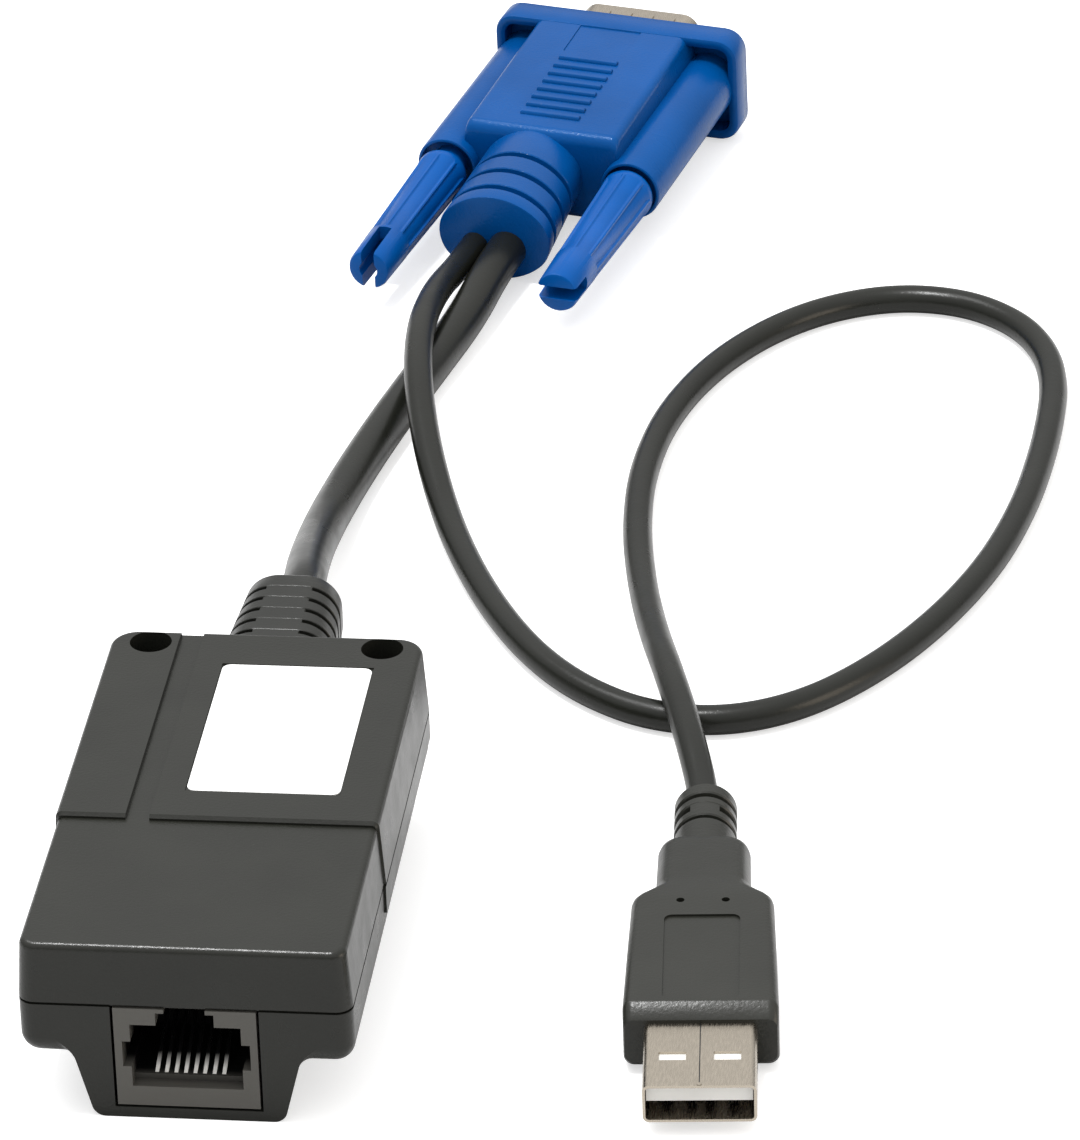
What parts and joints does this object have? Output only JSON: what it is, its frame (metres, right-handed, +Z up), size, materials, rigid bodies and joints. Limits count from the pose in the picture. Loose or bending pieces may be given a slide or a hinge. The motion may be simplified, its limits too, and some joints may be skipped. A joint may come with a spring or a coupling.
{
  "type": "kvm dongle",
  "caption": "Small black server module with an RJ45 socket, trailing a short cable to a blue VGA plug with thumbscrews and a looped cable to a USB plug.",
  "frame": {"origin": "middle of the module's footprint, on the surface it stands on", "axes": "+Z up, -Y out of the RJ45 socket, +Y towards the video cable, +X to the right seen from the socket"},
  "size_m": [0.1021, 0.2539, 0.0216],
  "materials": {
    "housing_black": "satin",
    "socket_black": "satin",
    "contact_gold": "bright",
    "board_green": "satin",
    "chip_black": "matt",
    "can_metal": "satin",
    "header_white": "satin",
    "lead_insulation": "matt",
    "dark_steel": "black oxide",
    "label_white": "matt",
    "boot_black": "matt",
    "cable_jacket": "satin",
    "hood_blue": "satin",
    "knob_blue": "satin",
    "plug_metal": "nickel plate",
    "insulator_black": "matt",
    "screw_steel": "zinc plate",
    "ring_nylon": "natural",
    "overmould_black": "satin",
    "tongue_white": "satin"
  },
  "bodies": {
    "dongle": {"upper_shell": "housing_black", "lower_shell": "housing_black", "jack_housing": "socket_black", "jack_contacts": "contact_gold", "circuit_board": "board_green", "controller_chip": "chip_black", "line_driver": "chip_black", "crystal": "can_metal", "wire_header": "header_white", "inner_leads": "lead_insulation", "housing_screws": "dark_steel", "label": "label_white", "cable_boot": "boot_black", "video_cable": "cable_jacket", "usb_cable": "cable_jacket", "vga_hood": "hood_blue", "vga_shell": "plug_metal", "vga_insulator": "insulator_black", "vga_pins": "contact_gold", "usb_overmould": "overmould_black", "usb_shell": "plug_metal", "usb_tongue": "tongue_white", "usb_contacts": "contact_gold"},
    "left_slider": {"left_ring": "ring_nylon"},
    "left_thumbscrew": {"left_knob": "knob_blue", "left_screw": "screw_steel"},
    "right_slider": {"right_ring": "ring_nylon"},
    "right_thumbscrew": {"right_knob": "knob_blue", "right_screw": "screw_steel"}
  },
  "joints": [
    {"name": "left_thumbscrew_slide", "type": "slide", "parent": "dongle", "child": "left_slider", "axis": [0.2326, 0.9717, 0.0401], "range_m": [-0.002, 0.00265]},
    {"name": "left_thumbscrew_turn", "type": "hinge", "parent": "left_slider", "child": "left_thumbscrew", "pos_m": [0.0041, 0.19517, 0.00707], "axis": [0.2326, 0.9717, 0.0401], "continuous": true},
    {"name": "right_thumbscrew_slide", "type": "slide", "parent": "dongle", "child": "right_slider", "axis": [0.2326, 0.9717, 0.0401], "range_m": [-0.0028, 0.00185]},
    {"name": "right_thumbscrew_turn", "type": "hinge", "parent": "right_slider", "child": "right_thumbscrew", "pos_m": [0.0284, 0.18936, 0.00707], "axis": [0.2326, 0.9717, 0.0401], "continuous": true}
  ]
}
